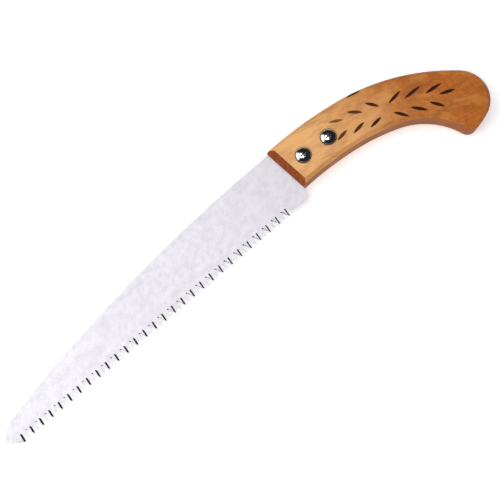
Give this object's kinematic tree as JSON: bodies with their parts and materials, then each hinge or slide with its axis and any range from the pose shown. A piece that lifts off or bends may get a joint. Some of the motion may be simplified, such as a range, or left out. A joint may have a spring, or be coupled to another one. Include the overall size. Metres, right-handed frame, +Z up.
{
  "type": "pruning saw",
  "caption": "Fixed-blade pruning saw: a straight toothed steel blade screwed into the kerf of a curved wooden pistol-grip handle.",
  "frame": {"origin": "bottom centre of the bounding box of the saw lying on its far side", "axes": "+X from the blade's tip towards the handle's butt, along the tooth line; +Y from the teeth towards the spine; +Z up, out of the near face that carries the screw heads"},
  "size_m": [0.4132, 0.0814, 0.0235],
  "materials": {
    "handle_wood": "satin varnish, burnt grip gouges",
    "blade_steel": "satin, plated",
    "polished_screw": "polished",
    "polished_washer": "polished",
    "nut_steel": "zinc plated"
  },
  "bodies": {
    "saw": {"handle": "handle_wood", "blade": "blade_steel", "front_sleeve_nut": "nut_steel", "rear_sleeve_nut": "nut_steel"},
    "front_washer": {"front_washer": "polished_washer"},
    "front_screw": {"front_screw": "polished_screw"},
    "rear_washer": {"rear_washer": "polished_washer"},
    "rear_screw": {"rear_screw": "polished_screw"}
  },
  "joints": [
    {"name": "front_screw_travel", "type": "slide", "parent": "saw", "child": "front_washer", "axis": [0, 0, 1], "range_m": [0, 0.008]},
    {"name": "front_screw_turn", "type": "hinge", "parent": "front_washer", "child": "front_screw", "pos_m": [0.08136, 0.02206, 0.021], "axis": [0, 0, 1], "range_deg": [0, 3600]},
    {"name": "rear_screw_travel", "type": "slide", "parent": "saw", "child": "rear_washer", "axis": [0, 0, 1], "range_m": [0, 0.008]},
    {"name": "rear_screw_turn", "type": "hinge", "parent": "rear_washer", "child": "rear_screw", "pos_m": [0.10246, 0.02036, 0.021], "axis": [0, 0, 1], "range_deg": [0, 3600]}
  ],
  "couplings": [
    {"joint": "front_screw_travel", "follows": "front_screw_turn", "m_per_rad": 0.00012732},
    {"joint": "rear_screw_travel", "follows": "rear_screw_turn", "m_per_rad": 0.00012732}
  ]
}
